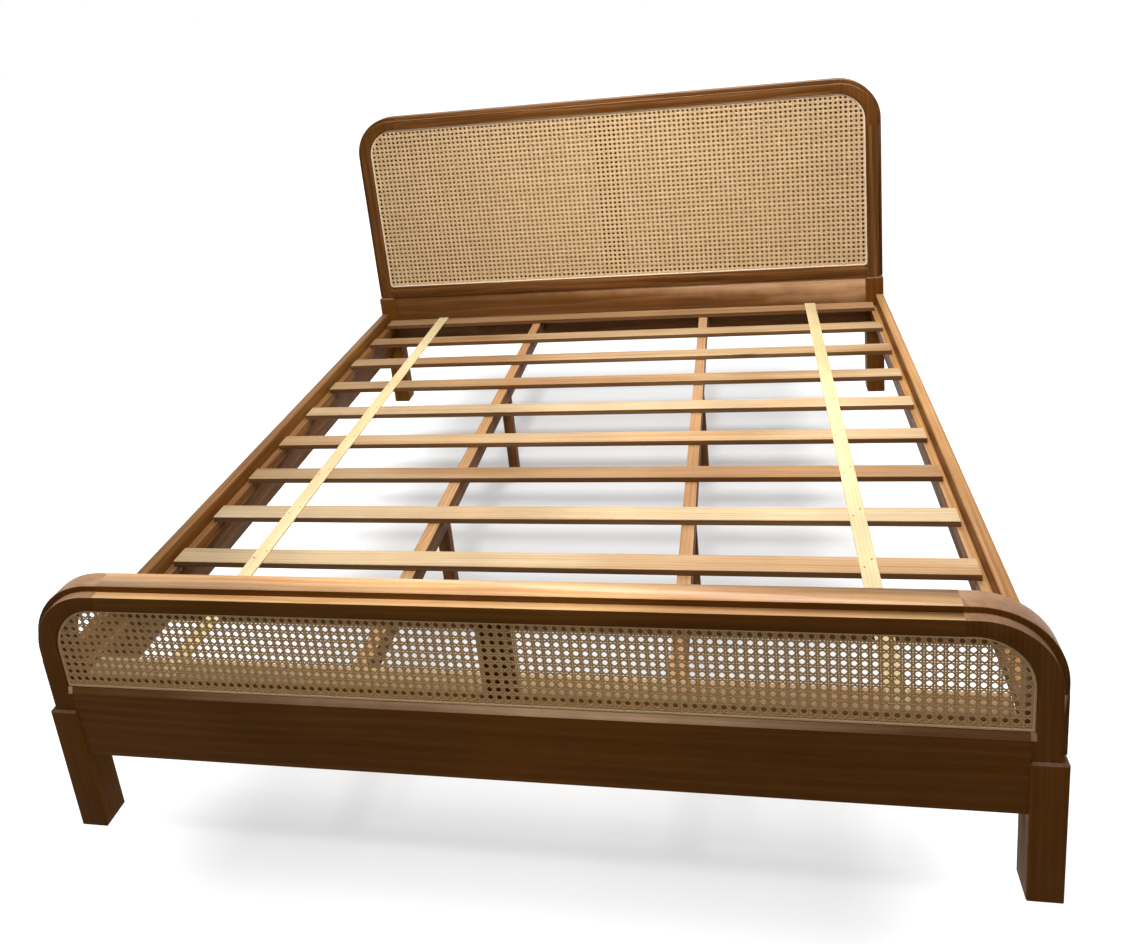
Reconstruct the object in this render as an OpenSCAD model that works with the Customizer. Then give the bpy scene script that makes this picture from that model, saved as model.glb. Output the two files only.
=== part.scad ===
// Double bed with a solid timber frame, woven cane panels in the headboard and
// footboard, and a loose slatted deck that lies on ledgers and two centre beams.
// Millimetres, Z up, +Y towards the head. The origin is on the floor under the
// middle of the bed. Inside the modules of an end frame, y counts from the front
// face of its legs; elsewhere y counts from the front face of the foot legs.

/* [Mattress] */
// Width of the mattress
mattress_w = 1800; // [1400:10:2000]
// Length of the mattress
mattress_l = 2000; // [1900:10:2200]
// Gap between the mattress and each side rail
side_gap = 10; // [4:1:25]
// Gap between the mattress and each end frame
end_gap = 14; // [4:1:30]

/* [Legs] */
// Width of a corner leg, across the bed
leg_w = 60; // [59:1:80]
// Depth of a corner leg, along the bed
leg_d = 66; // [60:1:90]
// Height of the foot legs
foot_leg_h = 290; // [280:1:310]
// Height of the head legs
head_leg_h = 440; // [400:1:460]
// Radius of a leg's upright edges
leg_arris = 5; // [2:0.5:8]
// Chamfer round a leg's top and bottom ends
leg_chamfer = 5; // [2:0.5:8]

/* [End frames] */
// Height of the footboard
foot_h = 566; // [540:1:640]
// Height of the headboard
head_h = 1138; // [900:1:1300]
// Radius of a frame's outer corners
corner_r = 141; // [110:1:150]
// Size of the square block that each round corner is cut from
corner_block = 160; // [155:1:180]
// Setback of a frame's front face behind the leg's front
face_setback = 4; // [2:0.5:8]
// Depth of the stepped front edge of a frame
step_d = 18; // [12:1:24]
// Width of the stepped front edge of a frame
step_w = 13; // [8:1:15]
// Width of a frame's front face at each side of the cane
face_side = 38; // [32:1:38]
// Height of a frame's front face above the cane
face_top = 31; // [26:1:40]
// Height of the lower edge of the cane window in the footboard
foot_window_z = 342; // [325:1:360]
// Height of the lower edge of the cane window in the headboard
head_window_z = 481; // [475:1:500]
// Radius of the window's upper corners
window_r = 97; // [80:1:105]
// Height of the sloping edge below each window
sill_slope_h = 13; // [6:1:16]

/* [Cane] */
// Width of the reed that locks the cane in its groove
reed_w = 6; // [4:0.5:8]
// Depth of the reed
reed_d = 8; // [6:0.5:10]
// Depth of the reed's face behind the frame's face
reed_recess = 5; // [3:0.5:7]
// Thickness of the cane panel
cane_t = 2; // [1.5:0.5:3]
// Depth of the cane's face behind the reed's face
cane_recess = 1; // [0.5:0.5:2]
// Number of openings across a cane panel, a coarse grid in place of the fine weave
cane_cols = 12; // [6:1:12]
// Rows of openings in the footboard's cane
foot_cane_rows = 1; // [1:1:2]
// Rows of openings in the headboard's cane
head_cane_rows = 4; // [2:1:5]
// Width of the bars between the openings
cane_bar = 46; // [30:1:56]
// Width of the footboard's middle upright, behind the cane
foot_mullion_w = 62; // [50:1:80]
// Width of the headboard's middle upright, behind the cane
head_mullion_w = 88; // [60:1:110]
// Thickness of both middle uprights
mullion_t = 18; // [14:1:20]

/* [Back panel] */
// Thickness of the thin panel that closes the headboard's back
panel_t = 6; // [4:0.5:9]
// Width of the rebate that the back panel lies in
panel_rebate = 12; // [9:1:15]
// Number of screws along the back panel's top, and along its bottom
panel_screws_n = 6; // [3:1:9]
// Number of screws up each side of the back panel
panel_side_screws_n = 3; // [2:1:5]

/* [Boards and rails] */
// Thickness of the side rails, apron and head board
board_t = 28; // [24:1:32]
// Height of the apron's lower edge above the floor
apron_z = 183; // [170:1:190]
// Height of the head board's lower edge above the floor
head_board_z = 259; // [240:1:280]
// Setback of the head board's face behind the leg's front
head_board_setback = 8; // [6:1:12]
// Shadow gap between the head board and the headboard's sill
shadow_gap = 2; // [1:0.5:4]
// Height of a side rail
rail_h = 160; // [140:1:170]
// Height of a side rail's top edge above the floor
rail_top = 376; // [370:1:384]
// Radius of a side rail's upper edges
rail_round = 6; // [3:0.5:9]

/* [Ledgers and beams] */
// Width of a side ledger
ledger_w = 20; // [18:1:26]
// Height of every ledger
ledger_h = 30; // [26:1:36]
// Width of the foot ledger behind the apron
foot_ledger_w = 40; // [36:1:50]
// Gap between a ledger's end and the leg
ledger_end_gap = 4; // [1:1:10]
// Radius of a side ledger's inner corners
ledger_r = 12; // [6:1:16]
// Width of a centre beam and its legs
beam_w = 30; // [26:1:40]
// Height of a centre beam
beam_h = 45; // [36:1:60]
// Distance from the bed's middle line to a beam's middle line
beam_x = 308; // [250:1:360]
// Distance from the bed's end to the middle of the nearest beam legs
beam_leg_inset = 700; // [600:5:800]
// Size of a beam leg along the bed
beam_leg_l = 30; // [26:1:40]

/* [Slats] */
// Width of a slat
slat_w = 58; // [45:1:70]
// Thickness of a slat
slat_t = 15; // [12:1:20]
// Height of the slats' upper faces above the floor
slat_top = 349; // [340:1:356]
// Gap between a slat's end and the side rail
slat_end_gap = 11; // [3:1:13]
// Gap between the ends of the foot slat and the legs
foot_slat_end_gap = 12; // [6:1:24]
// Gap between the first and last slats and the end frames
slat_margin = 2; // [1:0.5:8]
// Radius of a slat's long edges
slat_arris = 2; // [1:0.5:4]
// Width of a lath that ties the slats
lath_w = 36; // [28:1:45]
// Thickness of a lath
lath_t = 4; // [3:0.5:6]
// Distance from the bed's middle line to a lath's middle line
lath_x = 685; // [600:1:800]

/* [Joints and fittings] */
// Radius of the dowels between frame members
dowel_r = 5; // [4:0.5:6]
// Length of the dowels between frame members
dowel_l = 50; // [40:1:50]
// Radius of the dowels that stand in the legs
leg_dowel_r = 6; // [5:0.5:7]
// Length of the dowels that stand in the legs
leg_dowel_l = 60; // [50:1:70]
// Width of the steel plates of a rail fitting
plate_w = 18; // [16:1:20]
// Height of the steel plates of a rail fitting
plate_h = 110; // [104:1:120]
// Thickness of the steel plates of a rail fitting
plate_t = 2.5; // [2:0.5:3]
// Thickness of a rail fitting's hooks
hook_t = 3; // [2:0.5:4]
// Radius of a screw's shank
screw_r = 2.2; // [1.8:0.1:2.4]
// Radius of a screw's head
screw_head_r = 4; // [3.6:0.1:4.4]
// Length of a screw
screw_l = 30; // [24:1:34]
// Number of screws in each side ledger
ledger_screws_n = 8; // [5:1:10]
// Number of screws in the foot ledger
foot_ledger_screws_n = 6; // [4:1:8]
// Radius of the bolts between beams and their legs
bolt_r = 4; // [3:0.5:5]
// Length of the bolts between beams and their legs
bolt_l = 60; // [50:1:70]
// Thickness of a beam shoe's steel
shoe_t = 3; // [2:0.5:3.5]
// Length of a beam shoe's shelf
shoe_l = 32; // [26:1:40]

/* [Hidden] */
$fn = 64;
eps = 0.01;

// Ends of the bed: index 0 is the foot, index 1 the head
FOOT = 0;
HEAD = 1;
frame_top = [foot_h, head_h];
leg_h = [foot_leg_h, head_leg_h];
window_z = [foot_window_z, head_window_z];
window_low_r = [0, 13];
mullion_w = [foot_mullion_w, head_mullion_w];
cane_rows = [foot_cane_rows, head_cane_rows];

// Plan of the bed
half_in = mattress_w / 2 + side_gap;
half_w = half_in + board_t;
head_y = leg_d + mattress_l + 2 * end_gap;
bed_l = head_y + leg_d;
end_y = [0, head_y];
leg_x = half_w - leg_w;
leg_mid_x = half_w - leg_w / 2;

// Layers of an end frame, from its front face to its back
face_y = face_setback;
step_y = face_y + step_d;
reed_y = face_y + reed_recess;
cane_y = reed_y + cane_recess;
lip_y = cane_y + cane_t;
groove_y = reed_y + reed_d;
apron_back = face_y + board_t;
mullion_y = apron_back - mullion_t;

// Cane window: outer edge of the reed, inner edge of the reed, back lip
window_x = half_w - step_w - face_side;
reed_x = window_x - reed_w;
lip_w = reed_x - leg_x;
cane_fit = 0.3;

// Back panel of the headboard: how far its rebate lies inside the window's outline
rebate_inset = reed_w + lip_w - panel_rebate;
panel_y = leg_d - panel_t;
panel_fit = 0.4;

// Slatted deck; the slats are numbered from the head
slat_count = 11;
ledger_top = slat_top - slat_t;
slat_x = half_in - slat_end_gap;
foot_slat_x = leg_x - foot_slat_end_gap;
first_slat_y = head_y - slat_margin - slat_w;
last_slat_y = apron_back + slat_margin;
slat_pitch = (first_slat_y - last_slat_y) / (slat_count - 1);
brad_cover = 3;
brad_l = lath_t + slat_t - brad_cover;
brad_r = 0.9;
brad_head_r = 2.2;
brad_head_t = 0.8;

// Beams
beam_bottom = ledger_top - beam_h;
beam_foot_y = apron_back + foot_ledger_w + shoe_t;
beam_head_y = head_y + head_board_setback - shoe_t;
shoe_fit = 0.3;

// Clearances of bores and pockets
bore_fit = 0.15;
pocket_fit = 0.2;
slot_fit = 0.5;

// Dowels of an end frame: how far back they sit, and how far from a member's edge
dowel_y = 40;
rail_dowel_y = step_y + 22;
rail_dowel_drop = step_w + 14;
board_dowel_y = face_y + board_t / 2;
dowel_edge = 22;

// Tenons of the middle uprights
tenon_h = 15;
tenon_shoulder_w = 10;
tenon_shoulder_t = 4;

// Screws: heads, wood left under a sunk head, and the pair in each beam shoe
screw_head_t = 1.5;
screw_sink = 1;
wood_under_head = 12;
shoe_screw_drop = [8, 22];
shoe_screw_l = 20;
shoe_cheek_h = 34;
panel_screw_l = 16;
panel_screw_r = 1.5;
panel_screw_head_r = 3;

// Rail fittings
fitting_z = rail_top - rail_h / 2;
hook_pitch = 44;
hook_h = 16;
hook_lip = 10;
hook_reach = 8;
hook_room = 2;
plate_screw_inset = 8;
plate_screw_z = plate_h / 2 - plate_screw_inset;
plate_screw_l = 24;

// Colours
walnut = [0.36, 0.20, 0.11];
walnut_light = [0.62, 0.38, 0.22];
slat_tan = [0.85, 0.63, 0.42];
lath_pale = [0.95, 0.83, 0.58];
cane_gold = [0.80, 0.64, 0.38];
reed_tan = [0.72, 0.53, 0.34];
steel = [0.70, 0.70, 0.72];

// ---- Helpers ----

// Moves what is drawn with y from the foot legs' front to the bed's own origin
module bed() translate([0, -bed_l / 2, 0]) children();

// Places an end frame
module at_end(e) bed() translate([0, end_y[e], 0]) children();

// Right-hand pieces are drawn as they are, left-hand ones as their mirror image
module hand(side) mirror([side < 0 ? 1 : 0, 0, 0]) children();

// Extrudes an outline drawn in x and z, from y0 to y1
module slab(y0, y1) translate([0, y1, 0]) rotate([90, 0, 0]) linear_extrude(y1 - y0) children();

// Outline with round upper corners, and round lower corners where low_r is above 0
module arch(hx, z0, z1, r, low_r = 0) {
    translate([-hx + r, z0 + low_r]) square([2 * (hx - r), z1 - z0 - low_r]);
    translate([-hx, z0 + low_r]) square([2 * hx, z1 - r - z0 - low_r]);
    for (s = [-1, 1]) translate([s * (hx - r), z1 - r]) intersection() {
        circle(r);
        translate([-r, 0]) square([2 * r, r]);
    }
    if (low_r > 0) {
        translate([-hx + low_r, z0]) square([2 * (hx - low_r), low_r + eps]);
        for (s = [-1, 1]) translate([s * (hx - low_r), z0 + low_r]) circle(low_r);
    }
}

// Rectangle with round corners, its lower left corner at the origin
module round_rect(w, h, r) {
    translate([r, 0]) square([w - 2 * r, h]);
    translate([0, r]) square([w, h - 2 * r]);
    for (x = [r, w - r], y = [r, h - r]) translate([x, y]) circle(r);
}

// Rectangle with chamfered corners, its lower left corner at the origin
module cut_rect(w, h, c)
    polygon([[c, 0], [w - c, 0], [w, c], [w, h - c], [w - c, h], [c, h], [0, h - c], [0, c]]);

module x_rod(r, l) rotate([0, 90, 0]) cylinder(r = r, h = l, center = true);
module z_rod(r, l) cylinder(r = r, h = l, center = true);

// ---- End frames ----

// Upper edge of a cane window, and of the opening behind its lip
function window_top(e) = frame_top[e] - step_w - face_top;
function opening_top(e) = window_top(e) - reed_w - lip_w;

// Everything that the cane window takes out of a frame
module window_cut(e) {
    top = window_top(e);
    z = window_z[e];
    low_r = window_low_r[e];
    slab(-eps, reed_y + eps) arch(window_x, z, top, window_r, low_r);
    slab(reed_y, groove_y + bore_fit) difference() {
        arch(window_x, z, top, window_r, low_r);
        inner_arch(e, reed_w);
    }
    slab(reed_y, lip_y) inner_arch(e, reed_w);
    slab(lip_y - eps, leg_d + eps) inner_arch(e, reed_w + lip_w);
    if (e == HEAD) {
        slab(panel_y - bore_fit, leg_d + eps) inner_arch(HEAD, rebate_inset);
        panel_screw_set(bore_fit);
    }
    translate([-window_x, 0, 0]) rotate([90, 0, 90]) linear_extrude(2 * window_x)
        polygon([[-eps, z - sill_slope_h], [face_y, z - sill_slope_h], [reed_y, z],
            [reed_y, z + eps], [-eps, z + eps]]);
}

// The window's outline, drawn in by a distance
module inner_arch(e, inset) arch(window_x - inset, window_z[e] + inset,
    window_top(e) - inset, window_r - inset, max(0, window_low_r[e] - inset));

// The whole frame with its stepped front edge, before it is cut into members
module frame_ring(e) difference() {
    union() {
        slab(face_y, step_y + eps)
            arch(half_w - step_w, leg_h[e], frame_top[e] - step_w, corner_r - step_w);
        slab(step_y, leg_d) arch(half_w, leg_h[e], frame_top[e], corner_r);
    }
    window_cut(e);
}

// One member: the part of the frame that lies in a box, less its dowel holes
module member(e, x0, x1, z0, z1) difference() {
    intersection() {
        frame_ring(e);
        translate([x0, 0, z0]) cube([x1 - x0, leg_d, z1 - z0]);
    }
    dowels(e, bore_fit);
}

module stile(e, side) at_end(e) hand(side) difference() {
    member(e, leg_x, half_w, leg_h[e], frame_top[e] - corner_block);
    if (e == FOOT) keeper_pocket(e);
}

module corner(e, side) at_end(e) hand(side)
    member(e, half_w - corner_block, half_w, frame_top[e] - corner_block, frame_top[e]);

module top_rail(e) at_end(e)
    member(e, corner_block - half_w, half_w - corner_block, opening_top(e), frame_top[e]);

// Leg with soft upright edges and chamfered ends
module leg(e, side) at_end(e) hand(side) difference() {
    intersection() {
        translate([leg_x, 0, 0]) linear_extrude(leg_h[e]) round_rect(leg_w, leg_d, leg_arris);
        slab(-eps, leg_d + eps) translate([leg_x, 0]) cut_rect(leg_w, leg_h[e], leg_chamfer);
        translate([leg_x - eps, 0, 0]) rotate([90, 0, 90]) linear_extrude(leg_w + 2 * eps)
            cut_rect(leg_d, leg_h[e], leg_chamfer);
    }
    dowels(e, bore_fit);
    keeper_pocket(e);
}

// Dowels of one end: legs to stiles, stiles to corners, corners to the top rail,
// and the boards to the legs and stiles
module dowels(e, grow) {
    long_r = leg_dowel_r + grow;
    short_r = dowel_r + grow;
    for (s = [-1, 1]) {
        translate([s * leg_mid_x, dowel_y, leg_h[e]]) z_rod(long_r, leg_dowel_l + 2 * grow);
        translate([s * leg_mid_x, dowel_y, frame_top[e] - corner_block])
            z_rod(short_r, dowel_l + 2 * grow);
        translate([s * (half_w - corner_block), rail_dowel_y, frame_top[e] - rail_dowel_drop])
            x_rod(short_r, dowel_l + 2 * grow);
        for (z = board_dowel_z(e)) translate([s * leg_x, board_dowel_y, z])
            x_rod(short_r, dowel_l + 2 * grow);
    }
}

// Heights of the dowels at the ends of the apron, or of the head board and sill
function board_dowel_z(e) = e == FOOT
    ? [apron_z + dowel_edge, leg_h[e] - dowel_edge, window_z[e] - dowel_edge]
    : [head_board_z + dowel_edge, leg_h[e] - dowel_edge, leg_h[e] + dowel_edge];

// Middle upright behind the cane, with a tenon at each end
module mullion(e, fit = 0) at_end(e) {
    w = mullion_w[e];
    z0 = window_z[e] + reed_w + lip_w;
    z1 = opening_top(e);
    tenon_w = w - 2 * tenon_shoulder_w + 2 * fit;
    tenon_t = mullion_t - 2 * tenon_shoulder_t + 2 * fit;
    reach = tenon_h + fit;
    if (fit == 0) translate([-w / 2, mullion_y, z0]) cube([w, mullion_t, z1 - z0]);
    translate([-tenon_w / 2, mullion_y + tenon_shoulder_t - fit, z0 - reach])
        cube([tenon_w, tenon_t, z1 - z0 + 2 * reach]);
}

module cane(e) at_end(e) slab(cane_y, lip_y) difference() {
    inner_arch(e, reed_w + cane_fit);
    intersection() {
        inner_arch(e, reed_w + cane_bar / 2);
        cane_openings(e);
    }
}

// Even grid of openings over a whole cane panel
module cane_openings(e) {
    w = 2 * reed_x / cane_cols;
    z0 = window_z[e] + reed_w;
    h = (window_top(e) - reed_w - z0) / cane_rows[e];
    for (i = [0 : cane_cols - 1], j = [0 : cane_rows[e] - 1])
        translate([-reed_x + w * i + cane_bar / 2, z0 + h * j + cane_bar / 2])
            square([w - cane_bar, h - cane_bar]);
}

module reed(e) at_end(e) slab(reed_y, groove_y) difference() {
    inner_arch(e, cane_fit);
    inner_arch(e, reed_w);
}

// Thin panel in a rebate at the back of the headboard
module back_panel() at_end(HEAD) difference() {
    slab(panel_y, leg_d) inner_arch(HEAD, rebate_inset + panel_fit);
    panel_screw_set(bore_fit);
}

// Screws round the back panel's edge, their flat heads sunk flush in its back
module panel_screw_set(grow) {
    inset = reed_w + lip_w - panel_rebate / 2;
    half = half_w - corner_block;
    x_step = 2 * half / panel_screws_n;
    for (i = [0 : panel_screws_n - 1], z = [window_z[HEAD] + inset, window_top(HEAD) - inset])
        panel_screw(-half + x_step * (i + 0.5), z, grow);
    z_step = (frame_top[HEAD] - corner_block - window_z[HEAD]) / panel_side_screws_n;
    for (s = [-1, 1], i = [0 : panel_side_screws_n - 1])
        panel_screw(s * (window_x - inset), window_z[HEAD] + z_step * (i + 0.5), grow);
}

module panel_screw(x, z, grow) translate([x, leg_d, z]) rotate([90, 0, 0]) {
    translate([0, 0, -grow]) cylinder(r = panel_screw_head_r + grow, h = screw_head_t + 2 * grow);
    cylinder(r = panel_screw_r + grow, h = panel_screw_l + grow);
}

// Deep board across the foot, with the window's groove and slope in its upper edge
module apron() difference() {
    at_end(FOOT) difference() {
        translate([-leg_x, face_y, apron_z])
            cube([2 * leg_x, board_t, window_z[FOOT] + reed_w + lip_w - apron_z]);
        window_cut(FOOT);
        dowels(FOOT, bore_fit);
    }
    mullion(FOOT, pocket_fit);
    ledger_screw_set(bore_fit);
}

// Lower member of the headboard's frame
module sill() difference() {
    at_end(HEAD) difference() {
        translate([-leg_x, face_y, leg_h[HEAD]])
            cube([2 * leg_x, leg_d - face_y, window_z[HEAD] + reed_w + lip_w - leg_h[HEAD]]);
        window_cut(HEAD);
        dowels(HEAD, bore_fit);
    }
    mullion(HEAD, pocket_fit);
}

// Board between the head legs
module back_board() difference() {
    at_end(HEAD) difference() {
        translate([-leg_x, head_board_setback, head_board_z])
            cube([2 * leg_x, board_t, leg_h[HEAD] - shadow_gap - head_board_z]);
        dowels(HEAD, bore_fit);
    }
    shoe_screws(bore_fit);
}

// ---- Side rails and their fittings ----

// Runs a child at the rail joint of an end, with y pointing into the rail
module rail_joint(e) translate([half_w - board_t / 2, (e == FOOT ? leg_d : 0), fitting_z])
    mirror([0, e == HEAD ? 1 : 0, 0]) children();

module plate_block(grow) translate([-plate_w / 2 - grow, 0, -plate_h / 2 - grow])
    cube([plate_w + 2 * grow, plate_t + grow, plate_h + 2 * grow]);

// Screws of one plate: heads in the plate, shanks into the wood
module plate_screw_pair(grow) for (z = [-plate_screw_z, plate_screw_z]) translate([0, 0, z])
    rotate([-90, 0, 0]) {
        translate([0, 0, eps]) cylinder(r = screw_r + grow, h = plate_screw_l + grow);
        translate([0, 0, eps]) cylinder(r = screw_head_r + grow, h = screw_head_t + grow / 2);
    }

// Plate on the rail's end, with two hooks that drop behind the keeper plate
module hook_plate() {
    difference() {
        plate_block(0);
        plate_screw_pair(bore_fit);
    }
    for (z = [-hook_pitch / 2, hook_pitch / 2]) translate([-hook_t / 2, 0, z]) {
        translate([0, -hook_reach, -hook_h / 2]) cube([hook_t, hook_reach + eps, hook_h]);
        translate([0, -hook_reach, -hook_h / 2 - hook_lip])
            cube([hook_t, hook_reach - plate_t - slot_fit, hook_h + hook_lip]);
    }
}

// Plate let into the leg, with two slots for the hooks
module keeper_plate() mirror([0, 1, 0]) difference() {
    plate_block(0);
    plate_screw_pair(bore_fit);
    for (z = [-hook_pitch / 2, hook_pitch / 2])
        translate([-hook_t / 2 - slot_fit, -eps, z - hook_h / 2 - pocket_fit])
            cube([hook_t + 2 * slot_fit, plate_t + 2 * eps, hook_h + hook_lip + 2 * slot_fit]);
}

// Pocket for the keeper plate, its screws and the hooks, in a leg or stile
module keeper_pocket(e) rail_joint(e) mirror([0, 1, 0]) {
    translate([0, -eps, 0]) plate_block(pocket_fit);
    plate_screw_pair(bore_fit);
    for (z = [-hook_pitch / 2, hook_pitch / 2])
        translate([-hook_t / 2 - hook_room, 0, z - hook_h / 2 - hook_lip - hook_room])
            cube([hook_t + 2 * hook_room, hook_reach + hook_room,
                hook_h + 2 * (hook_lip + hook_room)]);
}

// All the plates of one kind, one at each corner of the bed
module at_rail_joints() for (e = [FOOT, HEAD], side = [-1, 1])
    at_end(e) hand(side) rail_joint(e) children();

module rail_profile() {
    translate([half_in, rail_top - rail_h]) square([board_t, rail_h - rail_round]);
    translate([half_in + rail_round, rail_top - rail_h])
        square([board_t - 2 * rail_round, rail_h]);
    for (x = [half_in + rail_round, half_w - rail_round])
        translate([x, rail_top - rail_round]) circle(rail_round);
}

module side_rail(side) difference() {
    bed() hand(side) slab(leg_d, head_y) rail_profile();
    for (e = [FOOT, HEAD]) at_end(e) hand(side) rail_joint(e) {
        translate([0, -eps, 0]) plate_block(pocket_fit);
        plate_screw_pair(bore_fit);
    }
    ledger_screw_set(bore_fit);
}

// ---- Ledgers ----

module ledger_plan(l) {
    translate([ledger_w / 2, 0]) square([ledger_w / 2, l]);
    translate([0, ledger_r]) square([ledger_w, l - 2 * ledger_r]);
    for (y = [ledger_r, l - ledger_r]) intersection() {
        translate([ledger_r, y]) circle(ledger_r);
        translate([0, y - ledger_r]) square([ledger_w, 2 * ledger_r]);
    }
    translate([ledger_r, 0]) square([ledger_w - ledger_r, l]);
}

module side_ledger(side) difference() {
    bed() hand(side)
        translate([half_in - ledger_w, leg_d + ledger_end_gap, ledger_top - ledger_h])
            linear_extrude(ledger_h) ledger_plan(head_y - leg_d - 2 * ledger_end_gap);
    ledger_screw_set(bore_fit);
}

module batten() difference() {
    bed() translate([-leg_x + ledger_end_gap, apron_back, ledger_top - ledger_h])
        cube([2 * (leg_x - ledger_end_gap), foot_ledger_w, ledger_h]);
    ledger_screw_set(bore_fit);
    shoe_screws(bore_fit);
}

// Screw along +y from its head at the origin, sunk below the surface
module screw(grow, sink = screw_sink) rotate([-90, 0, 0]) {
    translate([0, 0, grow > 0 ? -eps : sink])
        cylinder(r = screw_head_r + grow, h = screw_head_t + (grow > 0 ? sink + eps : 0));
    translate([0, 0, sink]) cylinder(r = screw_r + grow, h = screw_l + grow);
}

// Screws through the side ledgers into the rails, and through the foot ledger
module ledger_screw_set(grow) bed() {
    z = ledger_top - ledger_h / 2;
    run = head_y - leg_d;
    for (side = [-1, 1], i = [0 : ledger_screws_n - 1])
        hand(side) translate([half_in - ledger_w, leg_d + run * (i + 0.5) / ledger_screws_n, z])
            rotate([0, 0, -90]) screw(grow);
    foot_run = 2 * leg_x;
    for (i = [0 : foot_ledger_screws_n - 1])
        translate([-leg_x + foot_run * (i + 0.5) / foot_ledger_screws_n,
            apron_back + foot_ledger_w, z])
            rotate([0, 0, 180]) screw(grow, foot_ledger_w - wood_under_head);
}

// ---- Centre beams ----

module beam(side) bed() hand(side) difference() {
    translate([beam_x - beam_w / 2, beam_foot_y + shoe_fit, beam_bottom])
        cube([beam_w, beam_head_y - beam_foot_y - 2 * shoe_fit, beam_h]);
    for (e = [FOOT, HEAD]) beam_bolt(e, bore_fit);
}

function beam_leg_y(e) = e == FOOT ? beam_leg_inset : bed_l - beam_leg_inset;

module beam_bolt(e, grow) translate([beam_x, beam_leg_y(e), beam_bottom])
    z_rod(bolt_r + grow, bolt_l + 2 * grow);

module beam_leg(e, side) bed() hand(side) difference() {
    translate([beam_x - beam_w / 2, beam_leg_y(e) - beam_leg_l / 2, 0])
        cube([beam_w, beam_leg_l, beam_bottom]);
    beam_bolt(e, bore_fit);
}

// Steel saddle with a back plate, a shelf and two cheeks, y pointing along the beam
module shoe() {
    wide = beam_w + 2 * (shoe_fit + shoe_t);
    under = beam_bottom - shoe_t;
    tall = ledger_top - under;
    difference() {
        translate([-wide / 2, -shoe_t, under]) cube([wide, shoe_t, tall]);
        shoe_screw_pair(bore_fit);
    }
    translate([-wide / 2, -eps, under]) cube([wide, shoe_l, shoe_t]);
    for (x = [-wide / 2, wide / 2 - shoe_t])
        translate([x, -eps, under]) cube([shoe_t, shoe_l, shoe_cheek_h]);
}

// Two screws through a shoe's back plate, one above the other
module shoe_screw_pair(grow) for (z = shoe_screw_drop) translate([0, 0, ledger_top - z])
    rotate([90, 0, 0]) {
        cylinder(r = screw_head_r + grow, h = screw_head_t + grow);
        cylinder(r = screw_r + grow, h = shoe_t + shoe_screw_l + grow);
    }

module at_shoes() bed() for (side = [-1, 1]) {
    translate([side * beam_x, beam_foot_y, 0]) children();
    translate([side * beam_x, beam_head_y, 0]) mirror([0, 1, 0]) children();
}

module shoe_screws(grow) at_shoes() shoe_screw_pair(grow);

// ---- Slatted deck ----

function slat_y(i) = first_slat_y - (i - 1) * slat_pitch;
function slat_half(i) = i == slat_count ? foot_slat_x : slat_x;

module slat(i) if (i <= slat_count) bed()
    translate([-slat_half(i), slat_y(i), slat_top - slat_t])
        rotate([90, 0, 90]) linear_extrude(2 * slat_half(i)) round_rect(slat_w, slat_t, slat_arris);

module lath(side) bed() hand(side)
    translate([lath_x - lath_w / 2, last_slat_y, slat_top])
        cube([lath_w, first_slat_y + slat_w - last_slat_y, lath_t]);

// Two brads at each crossing of a lath and a slat, their heads flush with the lath
module brads() bed() for (side = [-1, 1], i = [1 : slat_count], k = [-1, 1])
    translate([side * lath_x + k * lath_w / 4, slat_y(i) + slat_w / 2 + k * slat_w / 4,
        slat_top + lath_t]) {
        translate([0, 0, -brad_head_t]) cylinder(r = brad_head_r, h = brad_head_t, $fn = 24);
        translate([0, 0, -brad_l]) cylinder(r = brad_r, h = brad_l - eps, $fn = 16);
    }

// ---- Sub-parts ----

module foot_leg_left() color(walnut) leg(FOOT, -1);
module foot_leg_right() color(walnut) leg(FOOT, 1);
module foot_stile_left() color(walnut) stile(FOOT, -1);
module foot_stile_right() color(walnut) stile(FOOT, 1);
module foot_corner_left() color(walnut) corner(FOOT, -1);
module foot_corner_right() color(walnut) corner(FOOT, 1);
module foot_top_rail() color(walnut_light) difference() {
    top_rail(FOOT);
    mullion(FOOT, pocket_fit);
}
module foot_apron() color(walnut) apron();
module foot_mullion() color(walnut) mullion(FOOT);
module foot_cane() color(cane_gold) cane(FOOT);
module foot_reed() color(reed_tan) reed(FOOT);
module head_leg_left() color(walnut) leg(HEAD, -1);
module head_leg_right() color(walnut) leg(HEAD, 1);
module head_stile_left() color(walnut) stile(HEAD, -1);
module head_stile_right() color(walnut) stile(HEAD, 1);
module head_corner_left() color(walnut) corner(HEAD, -1);
module head_corner_right() color(walnut) corner(HEAD, 1);
module head_top_rail() color(walnut_light) difference() {
    top_rail(HEAD);
    mullion(HEAD, pocket_fit);
}
module head_sill() color(walnut) sill();
module head_board() color(walnut_light) back_board();
module head_mullion() color(walnut) mullion(HEAD);
module head_cane() color(cane_gold) cane(HEAD);
module head_reed() color(reed_tan) reed(HEAD);
module head_back_panel() color(walnut_light) back_panel();
module side_rail_left() color(walnut_light) side_rail(-1);
module side_rail_right() color(walnut_light) side_rail(1);
module side_ledger_left() color(walnut_light) side_ledger(-1);
module side_ledger_right() color(walnut_light) side_ledger(1);
module foot_ledger() color(walnut_light) batten();
module beam_left() color(slat_tan) beam(-1);
module beam_right() color(slat_tan) beam(1);
module beam_leg_left_foot() color(slat_tan) beam_leg(FOOT, -1);
module beam_leg_left_head() color(slat_tan) beam_leg(HEAD, -1);
module beam_leg_right_foot() color(slat_tan) beam_leg(FOOT, 1);
module beam_leg_right_head() color(slat_tan) beam_leg(HEAD, 1);
module deck_slat(i) color(slat_tan) slat(i);
module lath_left() color(lath_pale) lath(-1);
module lath_right() color(lath_pale) lath(1);
module lath_brads() color(steel) brads();
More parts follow.
